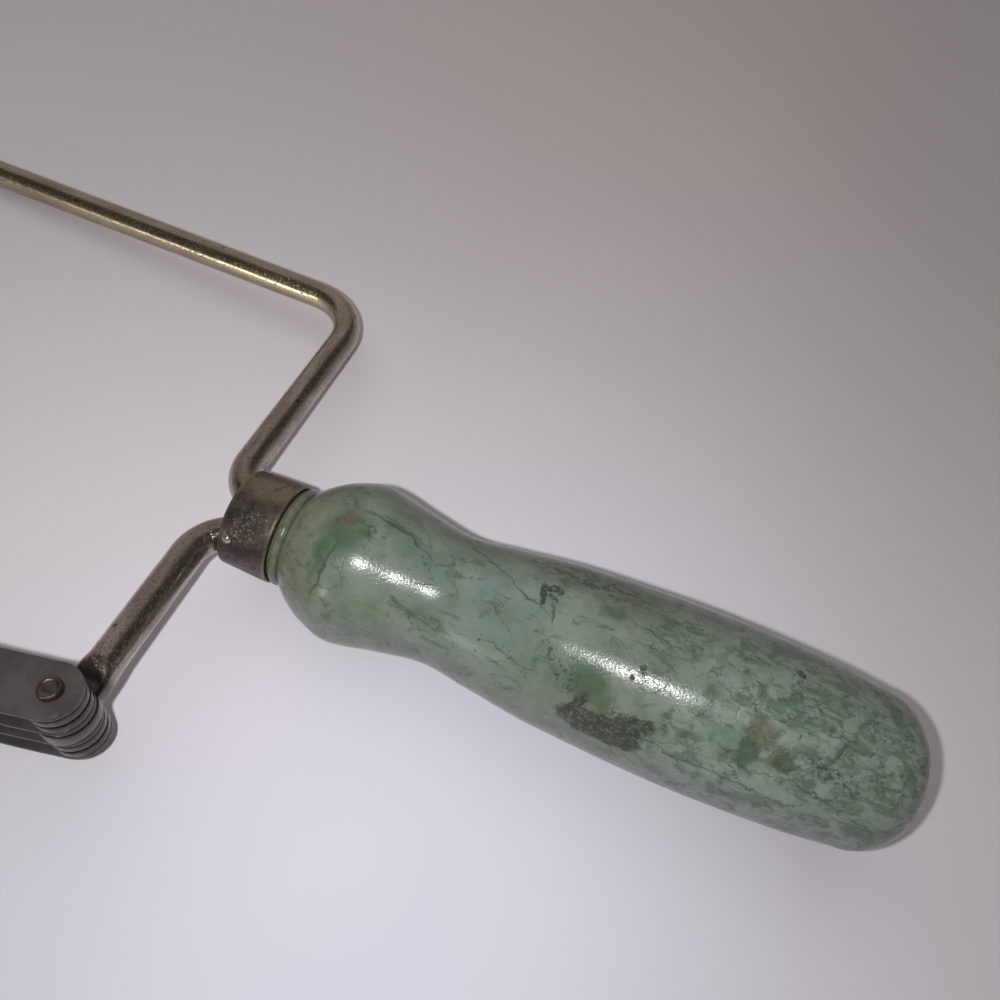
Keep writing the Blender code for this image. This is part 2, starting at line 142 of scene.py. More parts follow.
def vector_calc(tree, operation, *values):
    """The result of a Vector Math node: a number for a length or a dot product."""
    node = put(tree, "ShaderNodeVectorMath", dict(enumerate(values)), operation=operation)
    return node.outputs["Value" if operation in ("LENGTH", "DOT_PRODUCT") else "Vector"]


def split(tree, vector):
    """The X, Y and Z outputs of a vector."""
    return put(tree, "ShaderNodeSeparateXYZ", {0: vector}).outputs


def combine(tree, x=0.0, y=0.0, z=0.0):
    """A vector from three values."""
    return put(tree, "ShaderNodeCombineXYZ", {"X": x, "Y": y, "Z": z}).outputs[0]


# %% [markdown]
# ## A lathe in Geometry Nodes
# The handle, the ferrule, the brad, the washers and the rivets are all turned shapes: a
# profile spun about an axis. The Screw modifier could do that. A small Geometry Nodes tree
# was chosen because its sides are a named input, and because one tree serves all of them.
# It takes the profile's points, lays out a grid with one row for each point, and wraps each
# row into a circle about X. Merge by Distance closes the seam and the poles.


# %% Start a Geometry Nodes tree
WELD = 0.000002


def new_geometry_tree(name, inputs):
    """An empty tree with a geometry going in and out, and the named inputs given."""
    tree = bpy.data.node_groups.new(name, "GeometryNodeTree")
    tree.interface.new_socket("Geometry", in_out="OUTPUT", socket_type="NodeSocketGeometry")
    tree.interface.new_socket("Geometry", in_out="INPUT", socket_type="NodeSocketGeometry")
    for label, kind in inputs:
        tree.interface.new_socket(label, in_out="INPUT", socket_type=f"NodeSocket{kind}")
    return tree, put(tree, "NodeGroupInput").outputs


def grid_over_profile(tree, profile, columns):
    """A grid with a row for each profile point. Gives the grid, its column numbers, and
    the profile point of each row."""
    rows = put(tree, "GeometryNodeAttributeDomainSize", {"Geometry": profile}).outputs["Point Count"]
    grid = put(tree, "GeometryNodeMeshGrid", {"Vertices X": rows, "Vertices Y": columns}).outputs["Mesh"]
    index = put(tree, "GeometryNodeInputIndex").outputs[0]
    row = calc(tree, "FLOOR", calc(tree, "DIVIDE", total(tree, index, 0.5), columns))
    column = calc(tree, "SUBTRACT", index, product(tree, row, columns))
    position = put(tree, "GeometryNodeInputPosition").outputs[0]
    sample = put(tree, "GeometryNodeSampleIndex", {
        "Geometry": profile, "Value": position, "Index": row}, data_type="FLOAT_VECTOR")
    return grid, column, split(tree, sample.outputs[0])


def lay_out(tree, grid, position):
    """The grid with its points moved to their places, and its seams welded."""
    moved = put(tree, "GeometryNodeSetPosition", {"Geometry": grid, "Position": position}).outputs[0]
    return put(tree, "GeometryNodeMergeByDistance", {"Geometry": moved, "Distance": WELD}).outputs[0]


def close_tree(tree, mesh, material):
    """Realize the mesh and give it its material at the tree's end."""
    real = put(tree, "GeometryNodeRealizeInstances", {"Geometry": mesh}).outputs[0]
    done = put(tree, "GeometryNodeSetMaterial", {"Geometry": real, "Material": material}).outputs[0]
    put(tree, "NodeGroupOutput", {"Geometry": done})
    print(tree.name, "tree:", len(tree.nodes), "nodes")


# %% Build the lathe
lathe, given = new_geometry_tree("lathe", [("Sides", "Int"), ("Material", "Material")])
columns = total(lathe, given["Sides"], 1.0)
grid, column, point = grid_over_profile(lathe, given["Geometry"], columns)
angle = product(lathe, calc(lathe, "DIVIDE", column, given["Sides"]), 2 * math.pi)
spun = combine(lathe, point["X"], product(lathe, point["Y"], calc(lathe, "COSINE", angle)),
               product(lathe, point["Y"], calc(lathe, "SINE", angle)))
close_tree(lathe, lay_out(lathe, grid, spun), given["Material"])

# %% [markdown]
# ## Running a tree and finishing a piece
# A tree runs on a throwaway object, and the plain mesh that it makes is kept. The inputs are
# set by their identifiers before the object is first evaluated. A finished piece has its
# normals turned outwards, is laid on the table by the lying pose, rides on the one body and
# stands for the solids that it replaces.


# %% Run a tree, finish a piece
def run_tree(tree, mesh, values):
    """The mesh that the tree makes from the given mesh and input values."""
    helper = add_object("helper", mesh)
    modifier = helper.modifiers.new(tree.name, "NODES")
    modifier.node_group = tree
    for item in tree.interface.items_tree:
        if item.in_out == "INPUT" and item.name in values:
            modifier[item.identifier] = values[item.name]
    graph = bpy.context.evaluated_depsgraph_get()
    result = bpy.data.meshes.new_from_object(helper.evaluated_get(graph))
    bpy.data.objects.remove(helper, do_unlink=True)
    return result


def line_mesh(points):
    """A mesh of bare points, in order, for a tree to read."""
    mesh = bpy.data.meshes.new("points")
    mesh.from_pydata([(*point, 0.0) for point in points], [], [])
    return mesh


def turned(profile, sides, material):
    """Spin (x, radius) pairs about the X axis."""
    return run_tree(lathe, line_mesh(profile), {"Sides": sides, "Material": material})


def finish_piece(name, mesh, nodes, sharp=35.0):
    """Make the laid-down object, and let it stand for the named solids."""
    build = bmesh.new()
    build.from_mesh(mesh)
    bmesh.ops.recalc_face_normals(build, faces=build.faces)
    build.to_mesh(mesh)
    build.free()
    mesh.transform(LYING)
    mesh.shade_smooth()
    mesh.set_sharp_from_angle(angle=math.radians(sharp))
    mesh.name = name
    piece = add_object(name, mesh)
    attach(piece, "root")
    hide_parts(*nodes)
    print(name, "has", len(mesh.polygons), "faces")


# %% [markdown]
# ## Pattern coordinates that follow the tool
# Every pattern reads Object coordinates, which here are the table's frame. A Mapping node
# undoes the lying pose, so a pattern can be placed along the handle in millimetres. For
# marks on the handle's round skin the surface is also unrolled: x stays, and the angle about
# the axis, measured from the top towards the short rod, becomes the second coordinate.


# %% Coordinates in millimetres
UNROLL_RADIUS = 12.0


def tool_point(tree):
    """Object coordinates turned back into the tool's frame, in millimetres."""
    undo = LYING.inverted()
    return put(tree, "ShaderNodeMapping", {
        "Vector": put(tree, "ShaderNodeTexCoord").outputs["Object"],
        "Location": undo.translation * MM,
        "Rotation": undo.to_euler(),
        "Scale": (MM, MM, MM),
    }).outputs[0]


def unrolled_point(tree, point):
    """The handle's skin laid flat: distance along, and distance round from the top."""
    parts = split(tree, point)
    angle = calc(tree, "ARCTAN2", product(tree, parts["Y"], -1.0), parts["Z"])
    return combine(tree, parts["X"], product(tree, angle, UNROLL_RADIUS))


# %% [markdown]
# ## Brushes for the finishes
# The finishes share a few brushes. Noise gives cloudy variation, and stretching it makes
# grain. A mask turns a value into a soft on-off edge. A layer lays one colour over another
# through a mask, and coats lay a list of them. A blot is an ellipse at a chosen place. Each
# large chip and crack is a row in a table of blots, and reading them at a ragged point makes
# their edges wander.


# %% Brushes
def noise(tree, point, scale, detail=4.0, rough=0.55, along=None, warp=0.0):
    """Cloudy values from 0 to 1, with features about 1/scale millimetres wide. A small
    value for along draws them out lengthwise."""
    if along:
        point = vector_calc(tree, "MULTIPLY", point, (along, 1.0, 1.0))
    return put(tree, "ShaderNodeTexNoise", {
        "Vector": point, "Scale": scale, "Detail": detail, "Roughness": rough, "Distortion": warp,
    }).outputs[0]


def ramp(tree, value, low, high, steps="LINEAR"):
    """A straight rise from 0 at low to 1 at high. It falls where low is the larger."""
    return put(tree, "ShaderNodeMapRange", {"Value": value, "From Min": low, "From Max": high},
               interpolation_type=steps).outputs[0]


def mask(tree, value, low, high):
    """The same rise, but eased at both ends."""
    return ramp(tree, value, low, high, "SMOOTHSTEP")


def layer(tree, factor, under, over):
    """The colour over laid on the colour under."""
    mix = put(tree, "ShaderNodeMix", data_type="RGBA")
    for socket, value in ((mix.inputs[0], factor), (mix.inputs[6], under), (mix.inputs[7], over)):
        if isinstance(value, bpy.types.NodeSocket):
            tree.links.new(value, socket)
        else:
            socket.default_value = value if isinstance(value, float) else (*value, 1.0)
    return mix.outputs[2]


def coats(tree, colour, *rows):
    """Colours laid on in turn. Each row is a mask, a colour and how much of it."""
    for factor, over, amount in rows:
        colour = layer(tree, product(tree, factor, amount), colour, over)
    return colour


def ragged(tree, point, scale, amount):
    """The point pushed about by noise, so that edges drawn from it wander."""
    push = put(tree, "ShaderNodeTexNoise", {
        "Vector": point, "Scale": scale, "Detail": 5.0, "Roughness": 0.6}).outputs["Color"]
    centred = vector_calc(tree, "SUBTRACT", push, (0.5, 0.5, 0.5))
    return vector_calc(tree, "ADD", point, vector_calc(tree, "MULTIPLY", centred, (amount,) * 3))


def blot(tree, flat, x, degrees, length, width, tilt=0.0, soft=0.25):
    """1 inside an ellipse on the unrolled skin, 0 outside. Lengths are in millimetres,
    and degrees is the angle from the top."""
    local = put(tree, "ShaderNodeMapping", {
        "Vector": flat,
        "Location": (x, math.radians(degrees) * UNROLL_RADIUS, 0.0),
        "Rotation": (0.0, 0.0, math.radians(tilt)),
        "Scale": (length / 2, width / 2, 1.0),
    }, vector_type="TEXTURE").outputs[0]
    return mask(tree, vector_calc(tree, "LENGTH", local), 1.0 + soft, 1.0 - soft)


def greatest(tree, values):
    """The largest of several masks at each point."""
    result = values[0]
    for value in values[1:]:
        result = calc(tree, "MAXIMUM", result, value)
    return result


def blots(tree, flat, rows, soft=None):
    """The greatest of several blots, one for each row of a table. A softness given here
    serves every row."""
    return greatest(tree, [blot(tree, flat, *row, *([] if soft is None else [soft])) for row in rows])


def new_finish(name, metallic, ior=1.5):
    """A material with its shader, ready for links."""
    material = bpy.data.materials.new(name)
    material.use_nodes = True
    tree = material.node_tree
    shader = tree.nodes["Principled BSDF"]
    shader.inputs["Metallic"].default_value = metallic
    shader.inputs["IOR"].default_value = ior
    return material, tree, shader


def connect(tree, shader, colour, roughness, height, depth):
    """Link colour, roughness and a bump of the given depth in millimetres."""
    bump = put(tree, "ShaderNodeBump", {"Strength": 1.0, "Distance": depth / MM, "Height": height})
    tree.links.new(colour, shader.inputs["Base Color"])
    tree.links.new(roughness, shader.inputs["Roughness"])
    tree.links.new(bump.outputs[0], shader.inputs["Normal"])


# %% [markdown]
# ## The worn green paint
# The handle's paint is the tool's main feature: glossy mint green over an older dark green,
# with bare brown wood where both are gone. It is yellower at the bead, bluish at the waist,
# and more mottled towards the end. A photograph could be projected on it, but a layered node
# material holds from every side. It is built as the real paint was, from the top coat down to
# the wood, and the chips and cracks also go into the bump and the gloss.

# %% Top coat colours
paint, tree, shader = new_finish("worn_green_paint", 0.0, 1.55)
place = tool_point(tree)
skin = unrolled_point(tree, place)
parts = split(tree, place)

clouds = mask(tree, noise(tree, place, 0.16, 5.0, 0.6), 0.38, 0.64)
# The paint is tinted bluish over a patch at the waist.
bluish_waist = product(tree, blot(tree, skin, 38.0, 22.0, 26.0, 22.0, soft=0.8),
                    mask(tree, noise(tree, place, 0.3, 4.0), 0.35, 0.65))
yellowed = mask(tree, parts["X"], 20.0, 11.0)
olive = mask(tree, noise(tree, place, 0.11, 3.0, 0.5, along=0.5), 0.52, 0.68)
rear = mask(tree, parts["X"], 60.0, 82.0)
coat = coats(tree, layer(tree, clouds, (0.134, 0.174, 0.134), (0.198, 0.235, 0.184)),
             (bluish_waist, (0.165, 0.215, 0.205), 0.65),
             (yellowed, (0.170, 0.178, 0.118), 0.75),
             (olive, (0.150, 0.180, 0.118), 0.45),
             (rear, (0.240, 0.305, 0.263), 0.55))

# %% Darker undercoat showing through
UNDERCOAT_SPOTS = (
    # along, degrees, length, width, tilt, softness, strength
    (18.6, 12.0, 6.5, 7.5, 15.0, 0.55, 1.0), (16.6, 34.0, 2.2, 8.0, 0.0, 0.7, 1.0),
    (57.2, 45.0, 6.2, 5.8, 20.0, 0.40, 1.0), (60.0, 52.0, 3.4, 3.4, 0.0, 0.5, 1.0),
    (57.4, -3.0, 3.4, 2.0, 0.0, 0.6, 1.0), (79.6, 46.0, 3.0, 3.6, 0.0, 0.25, 1.0),
    (84.4, 42.0, 3.4, 3.2, 35.0, 0.25, 1.0), (26.0, -5.0, 6.0, 1.2, 10.0, 0.9, 1.0),
    (27.5, 6.0, 6.0, 3.2, 15.0, 0.9, 0.4), (33.0, 50.0, 10.0, 2.4, 18.0, 0.9, 0.35),
    (33.0, -30.0, 12.0, 3.0, 10.0, 0.9, 0.4), (54.0, 40.0, 9.0, 5.0, 20.0, 0.9, 0.35),
)
worn_skin = ragged(tree, skin, 0.55, 3.2)
thin_coat = noise(tree, place, 0.42, 8.0, 0.68, along=0.6, warp=0.6)
mottle = mask(tree, total(tree, thin_coat, product(tree, rear, 0.085)), 0.55, 0.64)
flakes = put(tree, "ShaderNodeTexVoronoi", {"Vector": ragged(tree, place, 1.1, 1.8), "Scale": 0.55})
flake_tone = split(tree, flakes.outputs["Color"])["X"]
loose = product(tree, mask(tree, flake_tone, 0.62, 0.80), mask(tree, parts["X"], 58.0, 76.0))
sunk = product(tree, mask(tree, flake_tone, 0.30, 0.16), mask(tree, parts["X"], 50.0, 78.0))
nibbled = product(tree, mask(tree, noise(tree, place, 1.15, 7.0, 0.72, along=0.6), 0.585, 0.625),
                  mask(tree, total(tree, thin_coat, product(tree, rear, 0.06)), 0.50, 0.60))
undercoat = greatest(tree, [product(tree, blot(tree, worn_skin, *spot), strength)
                            for *spot, strength in UNDERCOAT_SPOTS])
coat = coats(tree, coat,
             (mottle, (0.068, 0.108, 0.070), 0.62),
             (loose, (0.300, 0.360, 0.310), 0.22),
             (sunk, (0.080, 0.125, 0.085), 0.26),
             (nibbled, (0.042, 0.066, 0.042), 0.62),
             (undercoat, (0.050, 0.092, 0.052), 0.72))

# %% [markdown]
# ### Cracks
# Old paint cracks along the grain. A Voronoi texture's distance to its cell edges draws a
# net of lines. The net is stretched along the handle and broken up by noise, so that only
# pieces of it show. Near the end the cracks scribble about, so there a line is drawn where a
# rough noise crosses its middle value. A few long cracks that the real handle has are thin,
# tilted blots.

# %% Hairline cracks
LONG_CRACKS = (
    # along, degrees, length, width, tilt
    (23.6, -6.0, 7.5, 0.45, 7.0), (29.0, 1.0, 5.5, 0.25, 26.0), (21.6, 8.0, 0.22, 3.2, -10.0),
    (38.6, -14.5, 10.0, 0.26, 35.0), (45.3, 5.5, 7.6, 0.30, 27.0), (31.5, 50.0, 12.0, 0.21, 22.0),
    (45.5, 48.0, 10.0, 0.21, 12.0), (49.5, 12.0, 0.5, 3.0, -15.0), (64.0, 2.0, 9.0, 0.21, 10.0),
    (76.0, 66.0, 26.0, 0.22, 4.0), (90.0, 56.0, 12.0, 0.21, 8.0), (91.0, 24.0, 0.5, 7.0, 30.0),
    (17.6, 44.0, 0.6, 9.0, 6.0),
)


def net_edge(tree, point, scale):
    """The distance to the nearest line of a net of cells."""
    return put(tree, "ShaderNodeTexVoronoi", {"Vector": point, "Scale": scale},
               feature="DISTANCE_TO_EDGE").outputs[0]


stretched = vector_calc(tree, "MULTIPLY", ragged(tree, place, 0.3, 3.4), (0.42, 1.0, 1.0))
shown = mask(tree, noise(tree, place, 0.2, 3.0), 0.46, 0.58)
fine_shown = mask(tree, total(tree, noise(tree, place, 0.13, 4.0), product(tree, rear, 0.05)), 0.53, 0.64)
hairlines = product(tree, mask(tree, net_edge(tree, stretched, 0.19), 0.017, 0.004), shown)
fine_lines = product(tree, mask(tree, net_edge(tree, stretched, 0.55), 0.034, 0.008), fine_shown)
long_cracks = blots(tree, ragged(tree, skin, 0.35, 3.0), LONG_CRACKS, soft=0.6)
contour = distance_from(tree, noise(tree, place, 0.30, 7.0, 0.66, along=0.7), 0.5)
rear_patches = mask(tree, noise(tree, place, 0.26, 3.0), 0.46, 0.58)
scribbles = product(tree, mask(tree, contour, 0.012, 0.004), rear_patches,
                    mask(tree, parts["X"], 56.0, 72.0))
cracks = greatest(tree, [product(tree, hairlines, 0.8), product(tree, fine_lines, 0.5),
                         product(tree, scribbles, 0.9), long_cracks])
coat = coats(tree, coat, (cracks, (0.036, 0.055, 0.038), 0.72))

# %% [markdown]
# ### Chips and bare wood
# Where the coat has flaked off, a darker, rougher floor shows, with crumbs of paint left in
# it. Each large chip is a blot at its own place, and round them the coat is nibbled away by
# fine noise. Small flecks come from a noise cut very high, so that only its peaks remain.

# %% Chips
CHIPS = (
    # along, degrees, length, width, tilt, softness
    (60.7, 69.5, 12.6, 4.4, 2.0, 0.10), (64.3, 61.0, 5.6, 3.6, -20.0, 0.15),
    (56.8, 60.0, 1.6, 5.0, 20.0, 0.3), (48.6, -5.5, 2.8, 1.2, 0.0, 0.25),
    (47.4, 0.5, 1.0, 4.2, -8.0, 0.30), (48.9, 1.5, 1.6, 0.8, 30.0, 0.25),
    (63.3, 23.0, 0.8, 1.3, 0.0, 0.3), (62.4, 31.0, 0.8, 0.7, 0.0, 0.3),
    (66.4, 55.0, 2.2, 1.6, 20.0, 0.4), (84.0, -12.0, 1.8, 1.0, 30.0, 0.3),
)
NIBBLED_SPOTS = (
    # along, degrees, length, width, tilt
    (54.2, 47.0, 4.4, 3.4, 30.0), (51.0, 36.0, 4.0, 1.6, 35.0), (30.0, 9.0, 3.4, 1.4, 25.0),
    (63.0, 58.0, 8.0, 3.0, -10.0), (84.0, -8.0, 4.0, 2.2, 20.0), (91.0, 38.0, 9.0, 3.0, 5.0),
)
chip_skin = ragged(tree, skin, 0.9, 2.0)
nibbles = product(tree, blots(tree, chip_skin, NIBBLED_SPOTS, soft=0.6),
                  mask(tree, noise(tree, place, 1.5, 7.0, 0.75), 0.53, 0.58))
edge_wear = product(tree, blot(tree, chip_skin, 53.5, -25.0, 18.0, 5.0, 5.0, 0.7),
                    mask(tree, noise(tree, place, 1.3, 6.0, 0.75, along=0.6), 0.44, 0.56))
flecks = mask(tree, noise(tree, place, 0.95, 3.0, 0.5, along=0.7), 0.715, 0.745)
chips = greatest(tree, [blots(tree, chip_skin, CHIPS), product(tree, nibbles, 0.85),
                        product(tree, edge_wear, 0.8), product(tree, flecks, 0.85)])
crumbs = mask(tree, noise(tree, place, 1.6, 9.0, 0.82), 0.52, 0.57)
chip_floor = layer(tree, crumbs, (0.024, 0.030, 0.020), (0.120, 0.150, 0.108))
coat = coats(tree, coat, (chips, chip_floor, 0.92))

# %% Bare wood, stains, grime and painted shade
wood_spot = blot(tree, chip_skin, 18.1, 5.0, 2.6, 2.4, 0.0, 0.5)
grain = noise(tree, place, 1.5, 4.0, 0.6, along=0.15)
wood = layer(tree, grain, (0.080, 0.062, 0.042), (0.140, 0.105, 0.068))
stain = blots(tree, chip_skin, ((80.6, 32.0, 4.6, 3.6, 20.0), (83.6, 40.5, 2.4, 3.6, 20.0)), soft=0.30)
# The paint darkens the further round the handle it turns from a band just past the top: a painted shade.
# The grime layer adds this shade to noisy real dirt.
painted_round_shade = mask(tree, distance_from(tree, split(tree, skin)["Y"], 7.0), 6.0, 16.0)
grime_and_shade = total(tree, mask(tree, noise(tree, place, 0.7, 6.0, 0.7), 0.50, 0.75), painted_round_shade)
bead_dirt = product(tree, mask(tree, parts["X"], 10.1, 9.5),
                    mask(tree, noise(tree, place, 0.8, 5.0, 0.7), 0.30, 0.60))
bare_tenon = mask(tree, parts["X"], 8.22, 8.05)
# The groove between the bead and the flare is darkened: a painted shade.
painted_groove_shade = product(tree, mask(tree, parts["X"], 10.35, 9.85), mask(tree, parts["X"], 9.3, 9.75))
# A painted shade over the whole coat, strongest at the front and almost gone at the end.
painted_front_shade = calc(tree, "SUBTRACT", 0.12, product(tree, rear, 0.11))
coat = coats(tree, coat,
             (wood_spot, wood, 0.85),
             (stain, (0.082, 0.084, 0.044), 0.60),
             (grime_and_shade, (0.085, 0.100, 0.072), 0.35),
             (bead_dirt, (0.075, 0.078, 0.052), 0.55),
             (bare_tenon, (0.040, 0.030, 0.024), 1.0),
             (painted_groove_shade, (0.060, 0.060, 0.040), 0.35),
             (painted_front_shade, (0.010, 0.016, 0.010), 1.0))

# %% [markdown]
# ### Gloss and relief
# The coat is glossy but not smooth: the highlight on the real handle breaks into grains. Fine
# noise in the bump does that. Chips and cracks are duller than the coat and sink into it.

# %% Join the paint
dull = calc(tree, "MAXIMUM", chips, product(tree, cracks, 0.6))
scuffs = product(tree, noise(tree, place, 1.2, 6.0, 0.65, along=0.5), 0.18)
roughness = total(tree, scuffs, 0.12, product(tree, dull, 0.35))
peel = product(tree, noise(tree, place, 2.8, 1.0, 0.5), 0.17)
waves = product(tree, noise(tree, place, 0.45, 2.0, 0.5), 0.12)
relief = total(tree, peel, waves, product(tree, dull, -0.45))
connect(tree, shader, coat, roughness, relief, 0.12)
print("paint tree:", len(tree.nodes), "nodes")

# %% [markdown]
# ## The turned handle
# Its profile is a smooth curve through eleven measured radii. Straight lines between
# them would show as rings, so each stretch is a cubic that is level at the largest and
# smallest radii, as the solid's is. A half-round bead closes the front, and a quarter-round
# the end. The tenon inside the ferrule is kept, because it shows from the front.

# %% Profile of the handle
CLEARANCE = 0.0003
FERRULE_LENGTH = 0.0079
FERRULE_FRONT_RADIUS = 0.00765
FERRULE_REAR_RADIUS = 0.0080
FERRULE_WALL = 0.0006
HANDLE_FRONT = FERRULE_LENGTH + CLEARANCE
HANDLE_LENGTH = 0.0982
TENON_RECESS = 0.0006
BEAD_WIDTH = 0.0016
BEAD_RADIUS = 0.0079
BEAD_FACE_RADIUS = 0.0074
END_ROUNDING = 0.0080
TENON_FRONT_RADIUS = 0.0066
TENON_REAR_RADIUS = 0.0068
TENON_CHAMFER = 0.0004
SEAT = 0.00028
STATIONS = (
    (0.0016, 0.0076), (0.0041, 0.0098), (0.0070, 0.01145), (0.0114, 0.0127),
    (0.0190, 0.01135), (0.0263, 0.01025), (0.0336, 0.01115), (0.0445, 0.0125),
    (0.0660, 0.0134), (0.0810, 0.01295), (HANDLE_LENGTH - END_ROUNDING, 0.01205),
)


def smooth_radius(stations, along):
    """Radius at a distance along, on the cubic stretches through the stations."""
    chords = [(r1 - r0) / (x1 - x0) for (x0, r0), (x1, r1) in zip(stations, stations[1:])]
    slopes = [chords[0]]
    for before, after in zip(chords, chords[1:]):
        slopes.append(2 * before * after / (before + after) if before * after > 0 else 0.0)
    slopes.append(chords[-1])
    index = 0
    while index < len(stations) - 2 and along > stations[index + 1][0]:
        index += 1
    (x0, r0), (x1, r1) = stations[index], stations[index + 1]
    width = x1 - x0
    t = (along - x0) / width
    start = r0 * (1 + 2 * t) * (1 - t) ** 2 + slopes[index] * width * t * (1 - t) ** 2
    return start + r1 * t * t * (3 - 2 * t) + slopes[index + 1] * width * t * t * (t - 1)


def arc(centre, radius, start, end, steps):
    """(x, radius) points of an arc in the profile's plane. The angles are in degrees."""
    angles = [math.radians(start + (end - start) * step / steps) for step in range(steps + 1)]
    return [(centre[0] + radius * math.cos(a), centre[1] + radius * math.sin(a)) for a in angles]


# %% Turn the handle
RINGS = 150
CROWDING = 1.2
SIDES = 112
first, last = STATIONS[0][0], STATIONS[-1][0]
body = []
for step in range(RINGS + 1):
    along = first + (last - first) * (step / RINGS) ** CROWDING
    body.append((along, smooth_radius(STATIONS, along)))
tail = arc((last, STATIONS[-1][1] - END_ROUNDING), END_ROUNDING, 90.0, 0.0, 24)
bead = arc((BEAD_WIDTH / 2, BEAD_RADIUS - BEAD_WIDTH / 2), BEAD_WIDTH / 2, 150.0, 0.0, 14)
face = TENON_RECESS - HANDLE_FRONT
tenon = [(face, 0.0), (face, TENON_FRONT_RADIUS - TENON_CHAMFER),
         (face + TENON_CHAMFER, TENON_FRONT_RADIUS),
         (-SEAT, TENON_REAR_RADIUS), (-SEAT, BEAD_FACE_RADIUS)]
profile = tenon + bead[:-1] + body + tail[1:] + [(HANDLE_LENGTH, 0.0)]
profile = [(x + HANDLE_FRONT, radius) for x, radius in profile]
finish_piece("turned_handle", turned(profile, SIDES, paint), ["handle"])

# %% [markdown]
# ## The dull ferrule
# The ferrule is thin plated sheet. Its plating has gone brown, with a tan patch on top and
# pale specks where dough and damp have eaten it. The specks crowd into one patch on the near
# side, where the light strikes, and there they are a painted highlight. A metal takes its look
# from what it reflects, so the colour layers stay subtle and the roughness varies widely.

# %% Ferrule finish
plate, tree, shader = new_finish("dull_ferrule_plate", 1.0)
place = tool_point(tree)
skin = unrolled_point(tree, place)
parts = split(tree, place)
cloud = mask(tree, noise(tree, place, 0.45, 6.0, 0.65), 0.35, 0.68)
top_patch = blot(tree, ragged(tree, skin, 0.5, 2.4), 4.8, -14.0, 9.0, 8.0, 0.0, 0.5)
# Specks show weakly everywhere and in full on one patch of the near side, where the light strikes: that
# patch is a painted highlight.
speck_and_sheen_weight = total(tree, blot(tree, skin, 3.6, 38.0, 5.5, 7.0, 20.0, 0.6), 0.3)
specks = product(tree, mask(tree, noise(tree, place, 2.8, 6.0, 0.75), 0.54, 0.62), speck_and_sheen_weight)
pits = mask(tree, noise(tree, place, 1.5, 6.0, 0.75), 0.56, 0.62)
rims = calc(tree, "MAXIMUM", mask(tree, parts["X"], 0.7, 0.25), mask(tree, parts["X"], 7.25, 7.7))
brown = coats(tree, layer(tree, cloud, (0.115, 0.096, 0.085), (0.225, 0.193, 0.170)),
              (top_patch, (0.480, 0.390, 0.290), 0.70),
              (specks, (0.66, 0.61, 0.57), 0.75),
              (pits, (0.045, 0.036, 0.031), 0.75),
              (rims, (0.46, 0.38, 0.28), 0.35))
roughness = total(tree, product(tree, noise(tree, place, 1.1, 5.0, 0.7), 0.40), 0.26)
dents = product(tree, noise(tree, place, 0.28, 2.0), 2.2)
relief = total(tree, dents, product(tree, pits, -0.12), product(tree, noise(tree, place, 4.0, 3.0), 0.12))
connect(tree, shader, brown, roughness, relief, 0.12)

# %% Turn the ferrule
half = FERRULE_WALL / 2
front_rim = arc((half, FERRULE_FRONT_RADIUS - half), half, 270.0, 90.0, 10)
rear_rim = arc((FERRULE_LENGTH - half, FERRULE_REAR_RADIUS - half), half, 90.0, -90.0, 10)
ring = front_rim + rear_rim
finish_piece("ferrule_sleeve", turned(ring + ring[:1], SIDES, plate), ["ferrule"])

# %% [markdown]
# ## The brad
# One small brad pins the ferrule to the tenon, and its domed head catches the light. It is
# turned on the same lathe, with its height along X, and then stood on the ferrule's skin.

# %% Brass finish
brass, tree, shader = new_finish("brass_brad", 1.0)
place = tool_point(tree)
cloud = mask(tree, noise(tree, place, 2.0, 4.0), 0.4, 0.65)
tint = layer(tree, cloud, (0.80, 0.70, 0.50), (0.48, 0.38, 0.25))
roughness = total(tree, product(tree, noise(tree, place, 3.0), 0.2), 0.24)
connect(tree, shader, tint, roughness, noise(tree, place, 6.0), 0.01)

# %% Turn the brad and stand it on the ferrule
BRAD_AT = 0.0016
BRAD_ANGLE = math.radians(149.0)
HEAD_HEIGHT = 0.0007
HEAD_RADIUS = 0.0008
PIN_RADIUS = 0.00045
PIN_DEPTH = 0.0020
POINT_LENGTH = 0.0006
SUNK = 0.00005
outward = Vector((0.0, math.cos(BRAD_ANGLE), math.sin(BRAD_ANGLE)))
taper = (FERRULE_REAR_RADIUS - FERRULE_FRONT_RADIUS) / FERRULE_LENGTH
foot = Vector((BRAD_AT, 0.0, 0.0)) + outward * (FERRULE_FRONT_RADIUS + taper * BRAD_AT - SUNK)
head = [(HEAD_HEIGHT * math.cos(math.radians(a)), HEAD_RADIUS * math.sin(math.radians(a)))
        for a in range(0, 91, 10)]
pin = [(0.0, PIN_RADIUS), (POINT_LENGTH - PIN_DEPTH, PIN_RADIUS), (-PIN_DEPTH, 0.0)]
mesh = turned(head + pin, 32, brass)
mesh.transform(Matrix.Translation(foot) @ outward.to_track_quat("X", "Z").to_matrix().to_4x4())
finish_piece("domed_brad", mesh, ["ferrule_brad"], 50.0)

# %% [markdown]
# ## The tarnished rods
# Both rods are round bar, bent cold and forged flat at the end. Curve to Mesh sweeps a round
# bar well, but it can't change the section into a flat eye. So the skin is lofted: a ring of
# points at each station, with rounder or squarer section as the forging goes. Each point
# also stores where it would be on a straight rod, so that the brush marks follow the bends.

